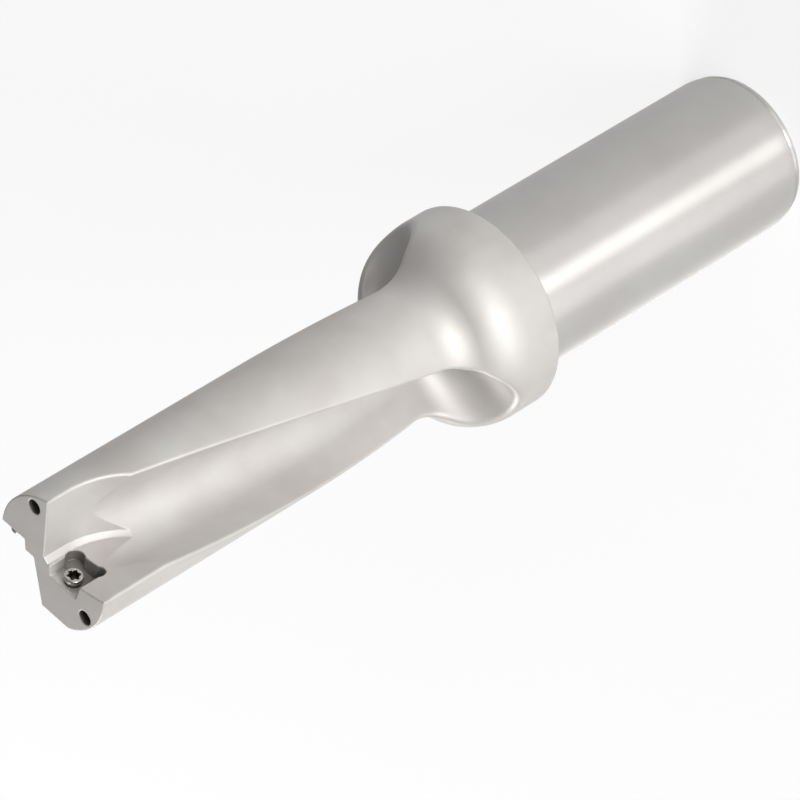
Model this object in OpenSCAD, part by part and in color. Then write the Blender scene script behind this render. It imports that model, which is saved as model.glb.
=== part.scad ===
// Indexable drill with a plain cylindrical shank, two twisted flutes and two open insert seats.
// The drill stands on its shank end: Z runs from the shank end (0) to the cutting end.
// The inner insert seat lies on the -X side and faces -Y, the outer seat lies on +X and faces +Y.

/* [Shank] */
// Diameter of the cylindrical shank
shank_diameter = 25; // [23:0.5:28]
// Length of the shank, from its end to the back face of the flange
shank_length = 56; // [48:1:66]
// Length of the chamfer at the shank end
shank_chamfer_length = 2.2; // [1:0.1:4]
// Depth of that chamfer, measured on the radius
shank_chamfer_depth = 0.75; // [0.3:0.05:1.5]
// Bore for the coolant, at the tapping size of its pipe thread
coolant_bore_diameter = 11.8; // [10:0.1:13]
// Solid metal left between the end of the coolant bore and the end of the flutes
coolant_bore_end_wall = 4; // [3:0.1:8]

/* [Flange] */
// Diameter of the flange
flange_diameter = 31.6; // [29:0.2:36]
// Length of the cylindrical rim of the flange
flange_rim_length = 5.5; // [4:0.1:8]
// Edge break at the back of the flange
flange_back_chamfer = 0.4; // [0.2:0.1:0.8]
// Radius of the convex shoulder in front of the rim
shoulder_radius = 8.8; // [6:0.1:11]
// Radius of the concave neck between shoulder and body
neck_radius = 7.2; // [5:0.1:10]

/* [Fluted body] */
// Diameter of the fluted body
body_diameter = 20.4; // [19.4:0.1:21.4]
// Length from the back face of the flange to the cutting end
body_length = 82.6; // [74:0.2:100]
// Length of one full turn of the flutes
flute_lead = 324; // [280:2:400]
// Angle of the inner flute's mouth at the body diameter
inner_mouth_width = 80; // [74:1:86]
// Radius at the bottom of the inner flute
inner_gullet_radius = 5.2; // [4.9:0.05:5.5]
// Distance of the inner flute's bottom radius from the drill's axis
inner_gullet_offset = 6.1; // [5.8:0.05:6.4]
// Angle of the outer flute's mouth at the body diameter
outer_mouth_width = 70; // [66:1:76]
// Radius at the bottom of the outer flute
outer_gullet_radius = 4.6; // [4.2:0.1:5]
// Distance of the outer flute's bottom radius from the drill's axis
outer_gullet_offset = 9.6; // [9:0.05:10.2]
// Flare of the outer flute where it runs out through the shoulder
outer_flute_flare = 26; // [10:1:40]
// Height of the round flute ends above the back face of the flange
flute_end_height = 14; // [12.5:0.1:17]

/* [Tip notches] */
// Radius of the milling cutter that leaves the notches in front of the flutes
notch_cutter_radius = 14; // [12:0.5:18]
// Length of the straight part of the notch walls
notch_straight_length = 3.5; // [2:0.1:6]
// Distance of the inner notch's wall beyond the drill's axis, at the notch floor
inner_notch_wall = 1.65; // [1.2:0.05:2.2]
// Distance of the inner notch's floor behind the drill's axis, at the foot of its wall
inner_notch_floor = 1.05; // [0.8:0.05:1.4]
// Lean of the inner notch
inner_notch_lean = 3.3; // [0:0.1:6]
// Distance of the outer notch's wall in front of the drill's axis, at the notch floor
outer_notch_wall = 3.6; // [3.2:0.05:4]
// Distance of the outer notch's floor in front of the drill's axis
outer_notch_floor = 1.9; // [1.6:0.05:2.4]
// Lean of the outer notch's wall
outer_notch_lean = 20; // [14:0.5:24]
// Bevel that the corner of the cutter leaves along the foot of the notch walls
notch_bevel = 0.85; // [0.3:0.05:1.1]
// Slope of the land beside the inner seat
inner_land_slope = 18.5; // [12:0.5:22]
// Distance from the axis at which that slope starts
inner_land_start = 5.5; // [5:0.1:7]
// Depth of the relief flat on the inner land
land_relief_depth = 1; // [0.4:0.1:1.6]
// Length over which the relief flat runs out
land_relief_length = 16; // [10:0.5:24]

/* [Insert seats] */
// Width of the floor of the inner seat
seat_width = 5.05; // [4.8:0.05:5.3]
// Length of the floor of the seats, which the inserts overhang at the front
seat_length = 4.4; // [4.1:0.05:4.7]
// Clearance angle of the inserts, which the seat walls follow
seat_flare = 11; // [7:0.5:15]
// Distance of the inner seat's floor behind the drill's axis
inner_seat_floor = 2.72; // [2.4:0.02:3]
// Reach of the inner seat's floor past the drill's axis
inner_seat_reach = 0.1; // [0:0.05:0.4]
// Distance of the outer seat's floor in front of the drill's axis
outer_seat_floor = 0.1; // [-0.2:0.05:0.4]
// Distance of the outer seat's wall from the drill's axis
outer_seat_wall = 5.65; // [5.3:0.05:6]
// Radius of the corner relief beside the outer wall of a seat
small_relief_radius = 1.05; // [0.8:0.05:1.2]
// Radius of the corner relief beside the inner wall of a seat
large_relief_radius = 1.35; // [1.1:0.05:1.5]

/* [Clamp screws] */
// Thread diameter of the insert screws
screw_diameter = 2.2; // [2:0.1:2.4]
// Clearance of the screw in its hole, on the radius
screw_clearance = 0.05; // [0.02:0.01:0.1]
// Length of the screw thread
screw_length = 4.4; // [3.5:0.1:5]
// Diameter of the screw head
screw_head_diameter = 2.8; // [2.6:0.1:3.2]
// Height of the screw head above the seat
screw_head_height = 1.35; // [1:0.05:1.6]
// Height of the cone under the head
screw_cone_height = 0.75; // [0.4:0.05:0.9]
// Width over the lobes of the six-lobed socket
socket_width = 1.95; // [1.7:0.05:2.1]
// Depth of the socket
socket_depth = 0.85; // [0.5:0.05:1]

/* [Coolant holes] */
// Diameter of the two coolant holes in the front face
coolant_hole_diameter = 2.2; // [1.6:0.1:2.6]
// Distance of the holes from the drill's axis, in the front face
coolant_hole_radius = 8.5; // [8.2:0.05:8.8]
// Direction of the hole in the outer land
outer_coolant_angle = -57; // [-60:1:-50]
// Direction of the hole in the inner land
inner_coolant_angle = 146.5; // [140:0.5:150]

/* [Hidden] */
$fn = 96;
// Reach of a cut past the surface that it opens
over = 1;
// Size of the blocks that only bound a cut
far = 60;
// Steps of the twisted flutes along their length and round half of their bottom
flute_slices = 28;
gullet_steps = 12;

shank_r = shank_diameter / 2;
flange_r = flange_diameter / 2;
body_r = body_diameter / 2;
rim_z = shank_length + flange_rim_length;
tip_z = shank_length + body_length;

// The shoulder and the neck are two arcs that meet with one slope
blend_radius = shoulder_radius + neck_radius;
blend_angle = acos(1 - (flange_r - body_r) / blend_radius);
blend_z = rim_z + shoulder_radius * sin(blend_angle);
blend_r = flange_r - shoulder_radius * (1 - cos(blend_angle));
neck_z = rim_z + blend_radius * sin(blend_angle);

// Directions of the flute mouths at the cutting end; the flutes start inside the notches
inner_mouth_angle = -121.5;
outer_mouth_angle = 51;
flute_start = 6;
flute_end_z = shank_length + flute_end_height;
flute_height = tip_z - flute_start - flute_end_z;
flute_twist = 360 * flute_height / flute_lead;
flute_turn = 360 * (tip_z - flute_end_z) / flute_lead;
flute_reach = flange_r + over;

// Height over which the seats are cut, and the place of a corner relief as a share of its radius
seat_cut = 3;
relief_inset = 0.45;
// The screws stand in the middle of the insert, whose length is its width
screw_z = tip_z - seat_length + seat_width / 2;
inner_screw_x = inner_seat_reach - seat_width / 2;
outer_screw_x = outer_seat_wall + seat_width / 2;
screw_hole_r = screw_diameter / 2 + screw_clearance;
screw_hole_depth = screw_length + over / 2;
screw_edge_break = 0.15;
socket_lobe_r = 0.26;

// The coolant holes run straight from the front face into the end of the coolant bore
coolant_bore_depth = flute_end_z - inner_gullet_radius - coolant_bore_end_wall;
outer_coolant_end = polar(4.5, -85);
inner_coolant_end = polar(4.7, 50);

function polar(r, a) = r * [cos(a), sin(a)];

// Angle at which the flank from a mouth edge touches the circle at the bottom of a flute
function flank_angle(offset, radius, edge) =
    let (d = edge - [offset, 0])
    atan2(d[1], d[0]) + acos(radius / norm(d));

// One half of a flute's section, with the mouth along +X and the drill's axis at the origin
module half_flute(offset, radius, width, flare) {
    edge = polar(body_r, width / 2);
    foot_angle = flank_angle(offset, radius, edge);
    step = (180 - foot_angle) / (gullet_steps + 0.5);
    gullet = [for (i = [0 : gullet_steps]) [offset, 0] + polar(radius, 180 - (i + 0.5) * step)];
    foot = gullet[gullet_steps];
    corner = edge + over * (edge - foot) / norm(edge - foot);
    polygon(concat([[gullet[0][0], 0]], gullet, [
        corner,
        [flute_reach, corner[1] + (flute_reach - corner[0]) * tan(flare)],
        [flute_reach, 0]]));
}

// A twisted flute, with half a turn of its section about the middle of the mouth as its round end
module flute(mouth_angle, offset, radius, width, flare) {
    translate([0, 0, flute_end_z]) rotate(mouth_angle - flute_turn) {
        linear_extrude(height = flute_height, twist = -flute_twist, slices = flute_slices, segments = 1)
            for (side = [0, 1]) mirror([0, side]) half_flute(offset, radius, width, flare);
        rotate([0, 90, 0]) rotate([0, 0, -90])
            rotate_extrude(angle = 180) mirror([1, -1]) half_flute(offset, radius, width, flare);
    }
}

// Path of the notch cutter, with its wall at X = 0 and its floor at Y = 0; it opens towards -X and -Y
module notch_cutter() {
    r = notch_cutter_radius;
    edge = [[0, 0], [r - notch_bevel, 0], [r, notch_bevel], [r, far / 2], [0, far / 2]];
    translate([-r, 0, -notch_straight_length]) {
        rotate([90, 0, 0]) rotate_extrude() polygon(edge);
        linear_extrude(notch_straight_length + over) mirror([0, 1]) polygon(edge);
    }
}

// The inner notch leaves a sloping land beside the seat
module inner_notch() {
    land_floor = inner_notch_floor - tan(inner_notch_lean) * (inner_notch_wall + inner_land_start);
    intersection() {
        translate([inner_notch_wall, inner_notch_floor, tip_z]) rotate(inner_notch_lean) notch_cutter();
        translate([-inner_land_start, land_floor, 0]) rotate(inner_land_slope)
            translate([-far, -far, 0]) cube([2 * far, far, tip_z + far]);
    }
}

// The outer notch has a leaning wall over a level floor
module outer_notch() {
    intersection() {
        translate([-outer_notch_wall, -outer_notch_floor, tip_z]) rotate(outer_notch_lean)
            translate([0, far / 4, 0]) notch_cutter();
        translate([-far, -outer_notch_floor - far, 0]) cube([2 * far, far, tip_z + far]);
    }
}

// Space of an insert with flared walls: floor at Y = 0, inner wall at X = 0, open to the front
module seat(width) {
    flare = seat_cut * tan(seat_flare);
    intersection() {
        translate([0, 0, -seat_length - flare]) linear_extrude(seat_length + flare + over)
            polygon([[0, 0], [flare, -seat_cut], [-width - flare, -seat_cut], [-width, 0]]);
        rotate([90, 0, -90]) translate([0, 0, -far / 2]) linear_extrude(far)
            polygon([[0, -seat_length], [seat_cut, -seat_length - flare], [seat_cut, over], [0, over]]);
    }
}

// Drilled relief in a corner between a side wall of a seat and its back wall
module corner_relief(radius, side) {
    translate([side * relief_inset * radius, 0, relief_inset * radius - seat_length])
        rotate([90, 0, 0]) cylinder(h = seat_cut, r = radius);
}

module screw_hole() {
    translate([0, -over, 0]) rotate([-90, 0, 0]) cylinder(h = screw_hole_depth + over, r = screw_hole_r);
}

module inner_seat() {
    translate([inner_seat_reach, inner_seat_floor, tip_z]) {
        seat(seat_width);
        corner_relief(large_relief_radius, -1);
        translate([-seat_width, 0, 0]) corner_relief(small_relief_radius, 1);
    }
    translate([inner_screw_x, inner_seat_floor, screw_z]) screw_hole();
}

// The outer seat is open at the body diameter
module outer_seat() {
    translate([-outer_seat_wall, -outer_seat_floor, tip_z]) {
        seat(far / 2);
        corner_relief(large_relief_radius, -1);
    }
    translate([-outer_screw_x, -outer_seat_floor, screw_z]) screw_hole();
}

// Flat that falls from the body diameter to its full depth at the front
module land_relief() {
    front = body_r - land_relief_depth;
    rotate([90, 0, 90]) translate([0, 0, -far / 2]) linear_extrude(far)
        polygon([
            [front, tip_z + over],
            [front, tip_z],
            [body_r, tip_z - land_relief_length],
            [far / 2, tip_z - land_relief_length],
            [far / 2, tip_z + over]]);
}

module coolant_hole(angle, end) {
    start = polar(coolant_hole_radius, angle);
    bottom = [end[0], end[1], coolant_bore_depth - over];
    run = [start[0], start[1], tip_z] - bottom;
    translate(bottom)
        rotate([0, acos(run[2] / norm(run)), atan2(run[1], run[0])]) rotate(90)
            cylinder(h = norm(run) + over, d = coolant_hole_diameter, $fn = 32);
}

// Half section of the turned blank, from the axis outwards
module blank_section() {
    polygon([
        [0, 0],
        [shank_r - shank_chamfer_depth, 0],
        [shank_r, shank_chamfer_length],
        [shank_r, shank_length],
        [flange_r - flange_back_chamfer, shank_length],
        [flange_r, shank_length + flange_back_chamfer],
        [flange_r, rim_z],
        [0, rim_z]]);
    intersection() {
        translate([flange_r - shoulder_radius, rim_z]) circle(shoulder_radius);
        translate([0, rim_z]) square([flange_r, blend_z - rim_z]);
    }
    difference() {
        translate([0, blend_z]) square([blend_r, neck_z - blend_z]);
        translate([body_r + neck_radius, neck_z]) circle(neck_radius);
    }
    translate([0, rim_z]) square([body_r, tip_z - rim_z]);
}

module drill_body() {
    color("silver") difference() {
        rotate_extrude() blank_section();
        flute(inner_mouth_angle, inner_gullet_offset, inner_gullet_radius, inner_mouth_width, 0);
        flute(
            outer_mouth_angle, outer_gullet_offset, outer_gullet_radius, outer_mouth_width,
            outer_flute_flare);
        inner_notch();
        rotate(180) outer_notch();
        inner_seat();
        rotate(180) outer_seat();
        land_relief();
        translate([0, 0, -over]) cylinder(h = coolant_bore_depth + over, d = coolant_bore_diameter);
        coolant_hole(outer_coolant_angle, outer_coolant_end);
        coolant_hole(inner_coolant_angle, inner_coolant_end);
    }
}

// Clamp screw along +Z, with its cone ending at Z = 0 on the seat
module clamp_screw() {
    thread_r = screw_diameter / 2;
    head_r = screw_head_diameter / 2;
    difference() {
        rotate_extrude() polygon([
            [0, -screw_length],
            [thread_r - screw_edge_break, -screw_length],
            [thread_r, screw_edge_break - screw_length],
            [thread_r, 0],
            [head_r, screw_cone_height],
            [head_r, screw_head_height - screw_edge_break],
            [head_r - screw_edge_break, screw_head_height],
            [0, screw_head_height]]);
        translate([0, 0, screw_head_height - socket_depth]) linear_extrude(socket_depth + over) six_lobe();
    }
}

module six_lobe() {
    lobe_ring = socket_width / 2 - socket_lobe_r;
    circle(lobe_ring);
    for (i = [0 : 5]) rotate(60 * i) translate([lobe_ring, 0]) circle(socket_lobe_r);
}

module inner_insert_screw() {
    color("dimgray") translate([inner_screw_x, inner_seat_floor, screw_z]) rotate([90, 0, 0]) clamp_screw();
}

module outer_insert_screw() {
    color("dimgray") translate([outer_screw_x, outer_seat_floor, screw_z]) rotate([-90, 0, 0]) clamp_screw();
}

drill_body();
inner_insert_screw();
outer_insert_screw();
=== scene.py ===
"""Looks of the indexable drill: a satin blasted body, a ground shank and two dark clamp screws."""

import math

import bpy
import numpy as np
from mathutils import Matrix, Vector


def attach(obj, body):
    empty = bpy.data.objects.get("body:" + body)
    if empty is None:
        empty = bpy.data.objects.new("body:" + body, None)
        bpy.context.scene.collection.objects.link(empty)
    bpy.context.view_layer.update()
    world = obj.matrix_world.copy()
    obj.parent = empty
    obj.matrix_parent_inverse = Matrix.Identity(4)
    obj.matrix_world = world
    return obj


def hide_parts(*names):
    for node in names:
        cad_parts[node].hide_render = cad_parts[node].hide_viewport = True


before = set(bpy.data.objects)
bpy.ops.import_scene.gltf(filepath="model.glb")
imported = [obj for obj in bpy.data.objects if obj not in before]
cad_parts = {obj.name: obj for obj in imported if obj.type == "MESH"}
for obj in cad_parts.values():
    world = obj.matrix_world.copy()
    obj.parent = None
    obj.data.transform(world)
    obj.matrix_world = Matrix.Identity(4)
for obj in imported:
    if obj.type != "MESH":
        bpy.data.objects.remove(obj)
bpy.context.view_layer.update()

# All shapes are worked out in millimetres and scaled to metres when they become meshes
MM = 0.001

# Turned blank
SHANK_R = 12.5
SHANK_LENGTH = 56.0
# Inset and height of points along the rounded chamfer of the shank end, with its fine turned line
SHANK_END = (
    (0.80, 0.0), (0.70, 0.06), (0.36, 0.8), (0.48, 1.1),
    (0.26, 1.5), (0.12, 2.0), (0.03, 2.6), (0.0, 3.3),
)
BORE_R = 5.9
BORE_DEPTH = 60.8
FLANGE_R = 15.8
RIM_Z = 61.5
BACK_CHAMFER = 0.4
SHOULDER_R = 8.8
NECK_R = 7.2
BODY_R = 10.2
TIP_Z = 138.6

# Flutes: direction of the mouth at the tip, distance and radius of the bottom, angle of the mouth,
# flare of the walls through the flange and how much more they flare on one side; angles in degrees
FLUTE_LEAD = 324.0
FLUTE_END_Z = 70.0
FLUTE_START_Z = TIP_Z - 6.0
INNER_FLUTE = dict(mouth=-121.5, offset=6.1, radius=5.2, width=80.0, flare=0.0, skew=0.0)
OUTER_FLUTE = dict(mouth=51.0, offset=9.6, radius=4.6, width=70.0, flare=12.0, skew=33.0)

# Notches in front of the flutes, the slope of the inner land and the flat on its back
NOTCH_R = 14.0
NOTCH_STRAIGHT = 3.5
INNER_NOTCH = dict(wall=1.65, floor=1.05, lean=3.3, bevel=0.72)
INNER_LAND = dict(slope=18.5, start=5.5, blend=2.0)
OUTER_NOTCH = dict(wall=3.6, floor=1.9, lean=20.0)
LAND_RELIEF = dict(depth=1.0, length=16.0)

# Insert seats, their corner reliefs and the holes of the screws
SEAT_WIDTH = 5.05
SEAT_LENGTH = 4.4
SEAT_CUT = 3.0
SEAT_FLARE = math.radians(11.0)
INNER_SEAT = dict(wall=0.1, floor=2.72)
OUTER_SEAT = dict(wall=-5.65, floor=-0.1)
LARGE_RELIEF = dict(radius=1.35, inset=0.58)
SMALL_RELIEF = dict(radius=1.05, inset=0.33)
SCREW_Z = TIP_Z - SEAT_LENGTH + SEAT_WIDTH / 2
SCREW_HOLE_R = 1.15
SCREW_HOLE_DEPTH = 3.8

# Clamp screw along +Z, with its cone ending at Z = 0 on the seat
SCREW_R = 1.1
SCREW_LENGTH = 3.6
SCREW_PITCH = 0.45
SCREW_THREAD_DEPTH = 0.14
SCREW_HEAD_R = 1.4
SCREW_HEAD_HEIGHT = 1.35
SCREW_CONE = 0.75
SOCKET_DEPTH = 0.85
SOCKET_R = 0.84
SOCKET_WAVE = 0.13
SOCKET_LOBES = 6
SCREW_EDGE = 0.14

# Coolant holes: angle in the front face, then radius and angle of the end in the bore
HOLE_R = 1.1
HOLE_RING = 8.5
HOLE_OVERLAP = 1.0
COOLANT_HOLES = ((-57.0, 4.5, -85.0), (146.5, 4.7, 50.0))

# Rounding of the blasted edges, of the finer milled edges, of the edges at the front face, which
# grows to the blasted one behind it, and of the ridges between two cuts
EDGE = 0.55
FINE_EDGE = 0.16
FRONT_EDGE = 0.2
FRONT_START = 0.3
FRONT_FADE = 1.5
RIDGE = 0.06

# Wider rounding in and around the round ends of the flutes, which fades out over the given height
RUN_OUT_EDGE = 0.5
RUN_OUT_BLEND = 2.6
RUN_OUT_FADE = 5.0

# Painted shade in the seats and holes: how dark it is, how soft its border is, and where the
# seats' painted shade sets in behind the tip
SEAT_PAINTED_SHADE = dict(dark=0.65, border=0.12, start=1.3, fade=1.6)
HOLE_PAINTED_SHADE = dict(dark=0.88, border=0.08)

# Points are moved onto a surface in a few steps; slopes below the limit count as the limit
SETTLE_STEPS = 4
SETTLE_SLOPE = 0.05

# Colour sockets of a Mix node
MIX_A, MIX_B, MIX_RESULT = 6, 7, 2
# Colour of the painted shade in the seats, holes and screw sockets
PAINTED_SHADE_BROWN = (0.05, 0.042, 0.038, 1.0)
WHITE = (1.0, 1.0, 1.0, 1.0)

# Share of the floor that is plain white to the camera and in reflections; the rest takes the shadow
FLOOR_GLOW = 0.75
FLOOR_HALF = 2000.0
LAMP_DISTANCE = 700.0
WORLD_STRENGTH = 0.3


def polar(radius, degrees):
    """Point in the XY plane."""
    a = math.radians(degrees)
    return np.array([radius * math.cos(a), radius * math.sin(a)])


def smooth_max(a, b, k):
    """Larger of two distance fields, with the edge between them rounded over about k."""
    return np.maximum(a, b) + np.maximum(k - np.abs(a - b), 0.0) ** 2 / (4.0 * k)


def near_run_out(z):
    """From 0 along the flutes to 1 in their round ends."""
    return np.clip((FLUTE_END_Z + RUN_OUT_FADE - z) / RUN_OUT_FADE, 0.0, 1.0)


def turned(x, y, z):
    """Coordinates after half a turn about the drill's axis."""
    return -x, -y, z


def blank_field(x, y, z):
    """Distance to the turned flange and body in front of the shank."""
    r = np.hypot(x, y)
    blend = math.acos(1.0 - (FLANGE_R - BODY_R) / (SHOULDER_R + NECK_R))
    blend_z = RIM_Z + SHOULDER_R * math.sin(blend)
    neck_z = RIM_Z + (SHOULDER_R + NECK_R) * math.sin(blend)
    shoulder = np.hypot(r - FLANGE_R + SHOULDER_R, z - RIM_Z) - SHOULDER_R
    neck = NECK_R - np.hypot(r - BODY_R - NECK_R, z - neck_z)
    side = np.select([z < RIM_Z, z < blend_z, z < neck_z], [r - FLANGE_R, shoulder, neck], r - BODY_R)
    side = np.maximum(np.minimum(side, r - BODY_R), r - FLANGE_R)
    back = SHANK_LENGTH - z
    chamfer = (r - FLANGE_R + back + BACK_CHAMFER) * math.sqrt(0.5)
    field = smooth_max(np.maximum(side, back), chamfer, FINE_EDGE)
    field = smooth_max(field, z - TIP_Z, FRONT_EDGE)
    return smooth_max(field, -np.maximum(r - BORE_R, z - BORE_DEPTH), FINE_EDGE)


def flute_field(x, y, z, mouth, offset, radius, width, flare, skew):
    """Distance to a twisted flute; its round end is its section turned about the mouth's middle."""
    turn = np.radians(mouth - 360.0 * (TIP_Z - np.maximum(z, FLUTE_END_Z)) / FLUTE_LEAD)
    u = x * np.cos(turn) + y * np.sin(turn)
    v = y * np.cos(turn) - x * np.sin(turn)
    side = np.hypot(v, np.minimum(z - FLUTE_END_Z, 0.0))
    edge = polar(BODY_R, width / 2)
    reach = edge - (offset, 0.0)
    angle = math.atan2(reach[1], reach[0]) + math.acos(radius / np.hypot(*reach))
    normal = (math.cos(angle), math.sin(angle))
    flank = (u - edge[0]) * normal[0] + (side - edge[1]) * normal[1]
    along = (u - offset) * normal[1] - side * normal[0]
    field = np.where(along > 0.0, flank, np.hypot(u - offset, side) - radius)
    corner = edge + (normal[1], -normal[0])
    # Beyond the body's diameter the walls flare, more so where v is negative
    slope = np.radians(flare - skew * v / np.maximum(side, 0.01))
    rim = (side - corner[1]) * np.cos(slope) - (u - corner[0]) * np.sin(slope)
    field = smooth_max(field, rim, RIDGE + RUN_OUT_BLEND * near_run_out(z))
    return np.maximum(field, z - FLUTE_START_Z)


def notch_wall(x, y, z, wall, floor, lean):
    """Distances to the wall and floor that the notch cutter leaves."""
    c, s = math.cos(math.radians(lean)), math.sin(math.radians(lean))
    across = (x - wall) * c + (y - floor) * s
    depth = (y - floor) * c - (x - wall) * s
    path = np.hypot(across + NOTCH_R, np.minimum(z - TIP_Z + NOTCH_STRAIGHT, 0.0))
    return path - NOTCH_R, depth


def inner_notch_field(x, y, z):
    """Distance to the inner notch, with a bevel in its corner and a sloping land."""
    wall, floor, lean, bevel = (INNER_NOTCH[k] for k in ("wall", "floor", "lean", "bevel"))
    side, depth = notch_wall(x, y, z, wall, floor, lean)
    field = np.maximum(np.maximum(side, depth), (side + depth + bevel) * math.sqrt(0.5))
    slope = math.radians(INNER_LAND["slope"])
    land_y = floor - math.tan(math.radians(lean)) * (wall + INNER_LAND["start"])
    land = (y - land_y) * math.cos(slope) - (x + INNER_LAND["start"]) * math.sin(slope)
    return smooth_max(field, land, INNER_LAND["blend"])


def outer_notch_field(x, y, z):
    """Distance to the outer notch, in coordinates after half a turn."""
    side, _ = notch_wall(x, y, z, -OUTER_NOTCH["wall"], -OUTER_NOTCH["floor"], OUTER_NOTCH["lean"])
    return np.maximum(side, y + OUTER_NOTCH["floor"])


def relief_field(x, y, z, wall, floor, side, radius, inset):
    """Drilled relief in a back corner of a seat."""
    bore = np.hypot(x - wall - side * inset, z - TIP_Z + SEAT_LENGTH - inset) - radius
    return np.maximum(bore, np.maximum(y - floor, floor - SEAT_CUT - y))


def seat_field(x, y, z, wall, floor, width):
    """Space of an insert with flared walls, with its reliefs and its screw hole."""
    c, s = math.cos(SEAT_FLARE), math.sin(SEAT_FLARE)
    rise = floor - y
    inner = (x - wall) * c - rise * s
    outer = (wall - width - x) * c - rise * s
    back = (TIP_Z - SEAT_LENGTH - z) * c - rise * s
    level = np.maximum(-rise, rise - SEAT_CUT)
    field = np.maximum(np.maximum(inner, outer), np.maximum(back, level))
    field = np.minimum(field, relief_field(x, y, z, wall, floor, -1.0, **LARGE_RELIEF))
    # A wider seat is open at the body's side and has no second wall
    if width == SEAT_WIDTH:
        field = np.minimum(field, relief_field(x, y, z, wall - width, floor, 1.0, **SMALL_RELIEF))
    hole = np.hypot(x - wall + SEAT_WIDTH / 2, z - SCREW_Z) - SCREW_HOLE_R
    return np.minimum(field, np.maximum(hole, y - floor - SCREW_HOLE_DEPTH))


def coolant_field(x, y, z, angle, end_radius, end_angle):
    """Distance to a straight coolant hole."""
    start = np.append(polar(HOLE_RING, angle), TIP_Z)
    end = np.append(polar(end_radius, end_angle), BORE_DEPTH - HOLE_OVERLAP)
    way = (start - end) / np.linalg.norm(start - end)
    p = (x - end[0], y - end[1], z - end[2])
    along = p[0] * way[0] + p[1] * way[1] + p[2] * way[2]
    apart = [p[i] - along * way[i] for i in range(3)]
    return np.sqrt(apart[0] ** 2 + apart[1] ** 2 + apart[2] ** 2) - HOLE_R


def body_field(x, y, z):
    """Distance to the fluted body, negative inside the metal."""
    front = np.clip((TIP_Z - FRONT_START - z) / FRONT_FADE, 0.0, 1.0)
    edge = FRONT_EDGE + (EDGE - FRONT_EDGE) * front
    edge = edge + RUN_OUT_EDGE * near_run_out(z)
    field = blank_field(x, y, z)
    depth, length = LAND_RELIEF["depth"], LAND_RELIEF["length"]
    flat = y - BODY_R + depth - (TIP_Z - z) * depth / length
    # The flat leaves the body at its length and ends further back, clear of the flange
    field = smooth_max(field, np.minimum(flat, z - TIP_Z + 2.0 * length), edge)
    kept = smooth_max(-flute_field(x, y, z, **INNER_FLUTE), -inner_notch_field(x, y, z), RIDGE)
    kept = np.maximum(kept, -flute_field(x, y, z, **OUTER_FLUTE))
    kept = np.maximum(kept, -outer_notch_field(*turned(x, y, z)))
    field = smooth_max(field, kept, edge)
    field = smooth_max(field, -seat_field(x, y, z, **INNER_SEAT, width=SEAT_WIDTH), FINE_EDGE)
    field = smooth_max(field, -seat_field(*turned(x, y, z), **OUTER_SEAT, width=BODY_R), FINE_EDGE)
    for hole in COOLANT_HOLES:
        field = smooth_max(field, -coolant_field(x, y, z, *hole), FINE_EDGE)
    return field


def body_painted_shade(x, y, z):
    """Painted shade of a point of the body in a milled seat or drilled hole, from 0 to 1."""
    seat = np.minimum(seat_field(x, y, z, **INNER_SEAT, width=SEAT_WIDTH),
                      seat_field(*turned(x, y, z), **OUTER_SEAT, width=BODY_R))
    hole = np.minimum(*(coolant_field(x, y, z, *place) for place in COOLANT_HOLES))
    deep = np.clip((TIP_Z - SEAT_PAINTED_SHADE["start"] - z) / SEAT_PAINTED_SHADE["fade"], 0.0, 1.0)
    in_seat = np.clip(1.0 - seat / SEAT_PAINTED_SHADE["border"], 0.0, 1.0)
    in_hole = np.clip(1.0 - hole / HOLE_PAINTED_SHADE["border"], 0.0, 1.0)
    return np.maximum(SEAT_PAINTED_SHADE["dark"] * deep * in_seat, HOLE_PAINTED_SHADE["dark"] * in_hole)


def screw_field(x, y, z):
    """Distance to a clamp screw with a six-lobed socket."""
    r, a = np.hypot(x, y), np.arctan2(y, x)
    groove = 0.5 + 0.5 * np.cos(2.0 * math.pi * z / SCREW_PITCH - a)
    thread = r - SCREW_R + SCREW_THREAD_DEPTH * groove
    cone = math.atan2(SCREW_HEAD_R - SCREW_R, SCREW_CONE)
    under = (r - SCREW_R) * math.cos(cone) - z * math.sin(cone)
    head = smooth_max(np.maximum(r - SCREW_HEAD_R, under), z - SCREW_HEAD_HEIGHT, SCREW_EDGE * 2)
    field = np.minimum(np.maximum(head, -z), np.maximum(thread, np.maximum(-SCREW_LENGTH - z, z)))
    socket = np.maximum(r - SOCKET_R - SOCKET_WAVE * np.cos(SOCKET_LOBES * a),
                        SCREW_HEAD_HEIGHT - SOCKET_DEPTH - z)
    return smooth_max(field, -socket, SCREW_EDGE)


def screw_painted_shade(x, y, z):
    """Painted shade in the socket and under the head, from 0 to 1."""
    rim, rim_fade, border = 0.12, 0.15, 0.05
    # How dark the painted shade under the head gets, and over what height it fades
    under_dark, under_fade = 0.6, 0.3
    in_socket = np.hypot(x, y) < SOCKET_R + SOCKET_WAVE + border
    socket = np.clip((SCREW_HEAD_HEIGHT - rim - z) / rim_fade, 0.0, 1.0) * in_socket
    return np.maximum(socket, under_dark * np.clip((SCREW_CONE - z) / under_fade, 0.0, 1.0))


def steps(*spans):
    """Grid lines over several spans, each given as start, end and spacing."""
    lines = [np.linspace(a, b, max(2, round((b - a) / d) + 1))[:-1] for a, b, d in spans]
    return np.append(np.concatenate(lines), spans[-1][1])


def gradient(field, points, h):
    """Slope of a field at points, by central differences."""
    out = np.empty_like(points)
    for i in range(3):
        shift = np.zeros(3)
        shift[i] = h
        out[:, i] = (field(*(points + shift).T) - field(*(points - shift).T)) / (2.0 * h)
    return out


def settle(field, points, limit, h):
    """Moves points onto the surface of a field, by at most limit in each of a few steps."""
    for _ in range(SETTLE_STEPS):
        slope = gradient(field, points, h)
        length = np.maximum((slope ** 2).sum(1), SETTLE_SLOPE)
        move = np.clip(field(*points.T) / length, -limit, limit)
        points = points - slope * move[:, None]
    return points


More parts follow.
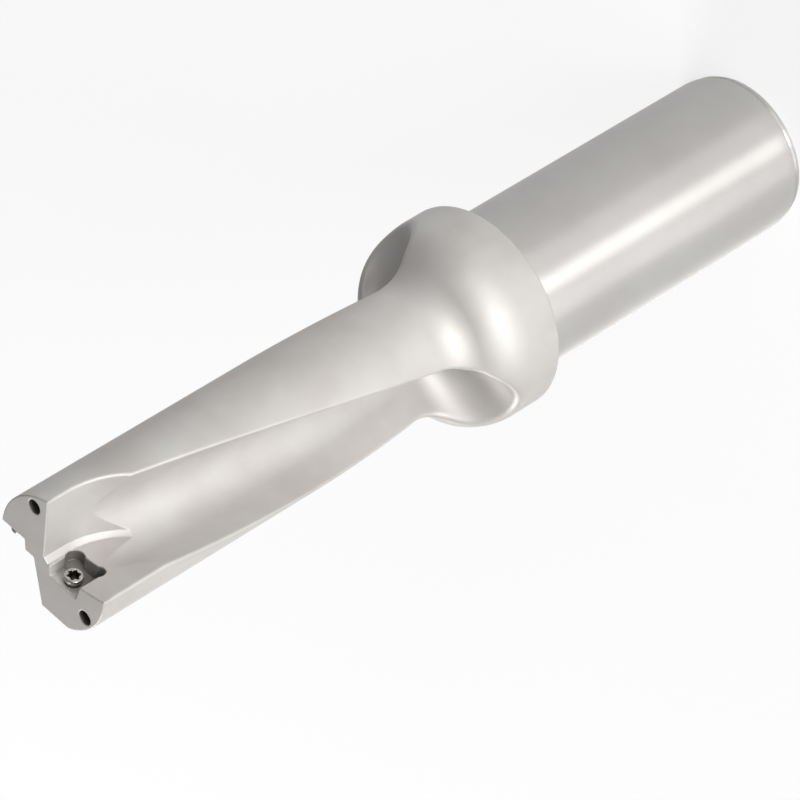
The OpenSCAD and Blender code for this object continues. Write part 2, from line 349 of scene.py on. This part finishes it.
def surface(field, xs, ys, zs, h):
    """Vertices and quads of the zero surface of a field, one vertex in each cell that it crosses."""
    value = np.empty((len(xs), len(ys), len(zs)), dtype=np.float32)
    gx, gy = np.meshgrid(xs, ys, indexing="ij")
    for k, z in enumerate(zs):
        value[:, :, k] = field(gx, gy, np.full_like(gx, z))
    lines = (xs, ys, zs)
    shape = tuple(n - 1 for n in value.shape)
    total = np.zeros(shape + (3,), dtype=np.float32)
    count = np.zeros(shape, dtype=np.int8)
    crossings = []
    for axis in range(3):
        low = np.take(value, range(value.shape[axis] - 1), axis)
        high = np.take(value, range(1, value.shape[axis]), axis)
        where = np.argwhere((low < 0) != (high < 0))
        a = low[tuple(where.T)]
        b = high[tuple(where.T)]
        part = (a / (a - b))[:, None]
        start = np.stack([lines[i][where[:, i]] for i in range(3)], 1)
        stop = start.copy()
        stop[:, axis] = lines[axis][where[:, axis] + 1]
        point = start + (stop - start) * part
        crossings.append((axis, where, a < 0))
        others = [i for i in range(3) if i != axis]
        for da in (0, 1):
            for db in (0, 1):
                cell = where.copy()
                cell[:, others[0]] -= da
                cell[:, others[1]] -= db
                ok = ((cell >= 0) & (cell < shape)).all(1)
                np.add.at(total, tuple(cell[ok].T), point[ok])
                np.add.at(count, tuple(cell[ok].T), 1)
    index = np.full(shape, -1, dtype=np.int64)
    used = count > 0
    index[used] = np.arange(used.sum())
    points = total[used] / count[used][:, None]
    quads = []
    for axis, where, inside in crossings:
        a, b = (axis + 1) % 3, (axis + 2) % 3
        corners = []
        for da, db in ((0, 0), (1, 0), (1, 1), (0, 1)):
            cell = where.copy()
            cell[:, a] -= da
            cell[:, b] -= db
            corners.append(index[tuple(cell.T)])
        quad = np.stack(corners, 1)
        quad[~inside] = quad[~inside][:, ::-1]
        quads.append(quad[(quad >= 0).all(1)])
    cell_size = min(np.diff(line).min() for line in lines)
    return settle(field, points.astype(float), cell_size, h), np.concatenate(quads)


def new_object(name, points, faces, material):
    """Mesh object from points in millimetres."""
    mesh = bpy.data.meshes.new(name)
    mesh.from_pydata((np.asarray(points) * MM).tolist(), [], np.asarray(faces).tolist())
    mesh.materials.append(material)
    obj = bpy.data.objects.new(name, mesh)
    bpy.context.scene.collection.objects.link(obj)
    return obj


def thin_out(obj, triangles):
    """Collapses the flattest faces until about that many triangles are left."""
    faces = 2 * len(obj.data.polygons)
    modifier = obj.modifiers.new("thin", "DECIMATE")
    modifier.ratio = min(1.0, triangles / faces)
    graph = bpy.context.evaluated_depsgraph_get()
    mesh = bpy.data.meshes.new_from_object(obj.evaluated_get(graph))
    obj.modifiers.clear()
    obj.data = mesh


def field_object(name, field, lines, h, triangles, material, painted_shade):
    """Piece with the surface of a field, thinned out and shaded with the field's own slope."""
    points, quads = surface(field, *lines, h)
    obj = new_object(name, points, quads, material)
    thin_out(obj, triangles)
    mesh = obj.data
    points = np.empty(3 * len(mesh.vertices))
    mesh.vertices.foreach_get("co", points)
    fine = h / 4
    points = settle(field, points.reshape(-1, 3) / MM, h, fine)
    mesh.vertices.foreach_set("co", (points * MM).ravel())
    normals = gradient(field, points, fine)
    normals /= np.maximum(np.linalg.norm(normals, axis=1), 1e-9)[:, None]
    mesh.polygons.foreach_set("use_smooth", np.ones(len(mesh.polygons), dtype=bool))
    mesh.normals_split_custom_set_from_vertices(normals.tolist())
    # The painted shade of each point goes to the material
    mesh.attributes.new("painted_shade", "FLOAT", "POINT").data.foreach_set("value", painted_shade(*points.T))
    mesh.update()
    return obj


def lathe(name, rings, sides, material, wave):
    """Turned piece from (radius, height) rings; wave(radius, height, angles) gives a ring's radii."""
    angles = np.linspace(0.0, 2.0 * math.pi, sides, endpoint=False)
    points = []
    for radius, height in rings:
        r = wave(radius, height, angles)
        points.append(np.stack([r * np.cos(angles), r * np.sin(angles), np.full(sides, height)], 1))
    faces = []
    n = len(rings)
    for i in range(n):
        for j in range(sides):
            k = (j + 1) % sides
            this, following = i * sides, (i + 1) % n * sides
            faces.append((this + j, this + k, following + k, following + j))
    return new_object(name, np.concatenate(points), faces, material)


def nodes_of(name):
    """New material with its node tree and shader."""
    material = bpy.data.materials.new(name)
    material.use_nodes = True
    tree = material.node_tree
    return material, tree, tree.nodes["Principled BSDF"]


def add(tree, kind, inputs=None, **settings):
    """Node with its settings and input values."""
    node = tree.nodes.new(kind)
    for key, value in settings.items():
        setattr(node, key, value)
    for key, value in (inputs or {}).items():
        node.inputs[key].default_value = value
    return node


def blend_of(tree, factor, stops):
    """Colour ramp driven by a factor."""
    ramp = add(tree, "ShaderNodeValToRGB")
    for element, (place, colour) in zip(ramp.color_ramp.elements, stops):
        element.position = place
        element.color = (*colour, 1.0)
    tree.links.new(factor, ramp.inputs["Fac"])
    return ramp.outputs["Color"]


def noise(tree, coords, scale, detail=3.0):
    """Cloudy noise between 0 and 1."""
    node = add(tree, "ShaderNodeTexNoise", {"Scale": scale, "Detail": detail, "Roughness": 0.6})
    tree.links.new(coords, node.inputs["Vector"])
    return node.outputs["Fac"]


def with_painted_shade(tree, colour):
    """Colour with painted shade: it turns dark brown where the mesh carries the shade."""
    painted_shade = add(tree, "ShaderNodeAttribute", attribute_name="painted_shade").outputs["Fac"]
    mix = add(tree, "ShaderNodeMix", {MIX_B: PAINTED_SHADE_BROWN}, data_type="RGBA")
    tree.links.new(painted_shade, mix.inputs["Factor"])
    tree.links.new(colour, mix.inputs[MIX_A])
    return mix.outputs[MIX_RESULT]


def satin_steel():
    """Fine blasted steel: a soft grain, cloudy sheen and slightly warm patches."""
    material, tree, shader = nodes_of("satin_steel")
    coords = add(tree, "ShaderNodeTexCoord").outputs["Object"]
    cloud = noise(tree, coords, 90.0)
    colour = blend_of(tree, cloud, ((0.35, (0.50, 0.475, 0.455)), (0.65, (0.555, 0.54, 0.52))))
    # Painted shade in the seats and holes darkens the base colour
    tree.links.new(with_painted_shade(tree, colour), shader.inputs["Base Color"])
    grain = noise(tree, coords, 9000.0, 2.0)
    rough = add(tree, "ShaderNodeMapRange", {"To Min": 0.49, "To Max": 0.61})
    tree.links.new(grain, rough.inputs["Value"])
    tree.links.new(rough.outputs["Result"], shader.inputs["Roughness"])
    bump = add(tree, "ShaderNodeBump", {"Strength": 0.06, "Distance": 0.00003})
    tree.links.new(grain, bump.inputs["Height"])
    tree.links.new(bump.outputs["Normal"], shader.inputs["Normal"])
    shader.inputs["Metallic"].default_value = 0.45
    return material


def ground_steel():
    """Ground shank: fine rings round the axis over a brighter metal."""
    material, tree, shader = nodes_of("ground_steel")
    coords = add(tree, "ShaderNodeTexCoord").outputs["Object"]
    stretch = add(tree, "ShaderNodeMapping", {"Scale": (0.04, 0.04, 1.0)})
    tree.links.new(coords, stretch.inputs["Vector"])
    rings = noise(tree, stretch.outputs["Vector"], 6000.0, 4.0)
    cloud = noise(tree, coords, 60.0)
    colour = blend_of(tree, cloud, ((0.3, (0.515, 0.498, 0.482)), (0.7, (0.57, 0.555, 0.54))))
    tree.links.new(colour, shader.inputs["Base Color"])
    rough = add(tree, "ShaderNodeMapRange", {"To Min": 0.36, "To Max": 0.46})
    tree.links.new(rings, rough.inputs["Value"])
    tree.links.new(rough.outputs["Result"], shader.inputs["Roughness"])
    bump = add(tree, "ShaderNodeBump", {"Strength": 0.05, "Distance": 0.00002})
    tree.links.new(rings, bump.inputs["Height"])
    tree.links.new(bump.outputs["Normal"], shader.inputs["Normal"])
    around = add(tree, "ShaderNodeTangent", direction_type="RADIAL", axis="Z")
    tree.links.new(around.outputs["Tangent"], shader.inputs["Tangent"])
    shader.inputs["Anisotropic"].default_value = 0.94
    shader.inputs["Anisotropic Rotation"].default_value = 0.25
    shader.inputs["Metallic"].default_value = 0.66
    return material


def screw_steel():
    """Hardened screw steel, darker and a little brown."""
    material, tree, shader = nodes_of("screw_steel")
    coords = add(tree, "ShaderNodeTexCoord").outputs["Object"]
    cloud = noise(tree, coords, 900.0)
    colour = blend_of(tree, cloud, ((0.3, (0.40, 0.38, 0.365)), (0.7, (0.50, 0.485, 0.47))))
    # Painted shade in the socket and under the head darkens the base colour
    tree.links.new(with_painted_shade(tree, colour), shader.inputs["Base Color"])
    rough = add(tree, "ShaderNodeMapRange", {"To Min": 0.22, "To Max": 0.36})
    tree.links.new(cloud, rough.inputs["Value"])
    tree.links.new(rough.outputs["Result"], shader.inputs["Roughness"])
    shader.inputs["Metallic"].default_value = 1.0
    return material


def make_body(material):
    """Flange, fluted body and cutting end in one piece; the grid is finest at the cutting end."""
    reach, cell = 16.2, 0.19
    xy = steps((-reach, reach, cell))
    zs = steps((55.7, 56.7, 0.16), (56.7, 61.3, 0.5), (61.3, 76.0, 0.26), (76.0, 120.0, 0.5),
               (120.0, 126.0, 0.3), (126.0, 138.0, 0.18), (138.0, 139.0, 0.14))
    return field_object("fluted_body", body_field, (xy, xy, zs), h=0.12, triangles=190000,
                        material=material, painted_shade=body_painted_shade)


def make_shank(material):
    """Shank with its chamfered end and the threaded coolant inlet."""
    pitch, depth, thread_end, thread_out = 1.337, 0.68, 14.0, 15.0
    steepness, crest = 1.6, 0.3
    countersink, straight_from = 0.5, 4.0
    sides, side_rings, bore_rings, thread_rings = 192, 14, 8, 90
    outside = [(SHANK_R - inset, z) for inset, z in SHANK_END]
    outside += [(SHANK_R, z) for z in np.linspace(straight_from, SHANK_LENGTH, side_rings)]
    inside = [(BORE_R, z) for z in np.linspace(SHANK_LENGTH, thread_out, bore_rings)]
    inside += [(BORE_R, z) for z in np.linspace(thread_end, countersink, thread_rings)]
    inside += [(BORE_R + countersink, 0.0)]

    def thread(radius, height, angles):
        """Helical grooves in the first stretch of the bore."""
        if radius != BORE_R or height > thread_end:
            return np.full(len(angles), radius)
        turn = (height / pitch - angles / (2.0 * math.pi)) % 1.0
        return radius + depth * np.clip(steepness * np.abs(2.0 * turn - 1.0) - crest, 0.0, 1.0)

    obj = lathe("shank", outside + inside, sides, material, thread)
    obj.data.shade_smooth()
    obj.data.set_sharp_from_angle(angle=math.radians(25.0))
    return obj


def make_screw(name, material, x, y, facing):
    """Clamp screw standing in its seat, with its head towards facing along Y."""
    reach, cell = 1.6, 0.06
    xy = steps((-reach, reach, cell))
    zs = steps((-4.6, -0.1, 0.08), (-0.1, 1.6, 0.05))
    obj = field_object(name, screw_field, (xy, xy, zs), h=0.03, triangles=30000,
                       material=material, painted_shade=screw_painted_shade)
    turn = Matrix.Rotation(math.radians(-90.0 * facing), 4, "X")
    obj.data.transform(Matrix.Translation(Vector((x, y, SCREW_Z)) * MM) @ turn)
    return obj


def make_floor():
    """Pale floor under the shank end, mostly white to the camera and in what metal reflects."""
    material, tree, shader = nodes_of("pale_floor")
    coords = add(tree, "ShaderNodeTexCoord").outputs["Object"]
    cloud = noise(tree, coords, 6.0)
    colour = blend_of(tree, cloud, ((0.3, (0.88, 0.88, 0.88)), (0.7, (0.9, 0.9, 0.9))))
    tree.links.new(colour, shader.inputs["Base Color"])
    shader.inputs["Roughness"].default_value = 0.9
    glow = add(tree, "ShaderNodeEmission", {"Color": WHITE, "Strength": 1.0})
    path = add(tree, "ShaderNodeLightPath")
    share = add(tree, "ShaderNodeMath", {1: FLOOR_GLOW}, operation="MULTIPLY")
    mix = add(tree, "ShaderNodeMixShader")
    seen = path.outputs["Is Camera Ray"]
    for kind in ("Is Glossy Ray", "Is Transmission Ray"):
        either = add(tree, "ShaderNodeMath", operation="MAXIMUM")
        tree.links.new(seen, either.inputs[0])
        tree.links.new(path.outputs[kind], either.inputs[1])
        seen = either.outputs["Value"]
    tree.links.new(seen, share.inputs[0])
    tree.links.new(share.outputs["Value"], mix.inputs["Fac"])
    tree.links.new(shader.outputs["BSDF"], mix.inputs[1])
    tree.links.new(glow.outputs["Emission"], mix.inputs[2])
    tree.links.new(mix.outputs["Shader"], tree.nodes["Material Output"].inputs["Surface"])
    corners = [(a * FLOOR_HALF, b * FLOOR_HALF, 0.0) for a, b in ((-1, -1), (1, -1), (1, 1), (-1, 1))]
    floor = new_object("floor", corners, [(0, 1, 2, 3)], material)


def soft_lamp(name, azimuth, elevation, size, power):
    """Square soft lamp aimed at the middle of the drill; its size is in millimetres."""
    lamp = bpy.data.lights.new(name, "AREA")
    lamp.size = size * MM
    lamp.energy = power
    obj = bpy.data.objects.new(name, lamp)
    flat = polar(LAMP_DISTANCE * math.cos(math.radians(elevation)), azimuth)
    middle = Vector((0.0, 0.0, TIP_Z / 2))
    offset = Vector((flat[0], flat[1], LAMP_DISTANCE * math.sin(math.radians(elevation))))
    obj.location = (middle + offset) * MM
    obj.rotation_euler = (-offset).to_track_quat("-Z", "Y").to_euler()
    bpy.context.scene.collection.objects.link(obj)


def make_light():
    """Four soft lamps and a dim white world."""
    soft_lamp("key", azimuth=-142.0, elevation=13.0, size=230.0, power=3.1)
    soft_lamp("front", azimuth=-112.0, elevation=14.0, size=320.0, power=0.9)
    soft_lamp("side", azimuth=-172.0, elevation=14.0, size=320.0, power=1.5)
    soft_lamp("back", azimuth=90.0, elevation=28.0, size=300.0, power=3.3)
    world = bpy.data.worlds.new("studio")
    world.use_nodes = True
    background = world.node_tree.nodes["Background"]
    background.inputs["Color"].default_value = WHITE
    background.inputs["Strength"].default_value = WORLD_STRENGTH
    bpy.context.scene.world = world


def make_camera():
    """Long lens that looks down on the standing drill and is rolled to the photograph's angle."""
    place = Vector((-303.8, -483.56, 469.61))
    target = Vector((-5.85, 1.12, 78.0))
    roll = math.radians(-121.41)
    data = bpy.data.cameras.new("camera")
    data.lens = 221.2
    data.sensor_width = 36.0
    data.clip_start = 0.01
    data.clip_end = 20.0
    obj = bpy.data.objects.new("camera", data)
    turn = (target - place).to_track_quat("-Z", "Y").to_matrix().to_4x4()
    obj.matrix_world = Matrix.Translation(place * MM) @ turn @ Matrix.Rotation(roll, 4, "Z")
    bpy.context.scene.collection.objects.link(obj)
    bpy.context.scene.camera = obj


steel = satin_steel()
dark_steel = screw_steel()
inner_screw_x = INNER_SEAT["wall"] - SEAT_WIDTH / 2
outer_screw_x = SEAT_WIDTH / 2 - OUTER_SEAT["wall"]
pieces = (
    (make_body(steel), "drill_body", "satin_steel"),
    (make_shank(ground_steel()), "drill_body", "satin_steel"),
    (make_screw("inner_screw", dark_steel, inner_screw_x, INNER_SEAT["floor"], facing=-1.0),
     "inner_insert_screw", "screw_steel"),
    (make_screw("outer_screw", dark_steel, outer_screw_x, -OUTER_SEAT["floor"], facing=1.0),
     "outer_insert_screw", "screw_steel"),
)
for piece, node, slot in pieces:
    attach(piece, "root")
    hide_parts(node)

make_floor()
make_light()
make_camera()
bpy.context.scene.view_settings.view_transform = "Standard"
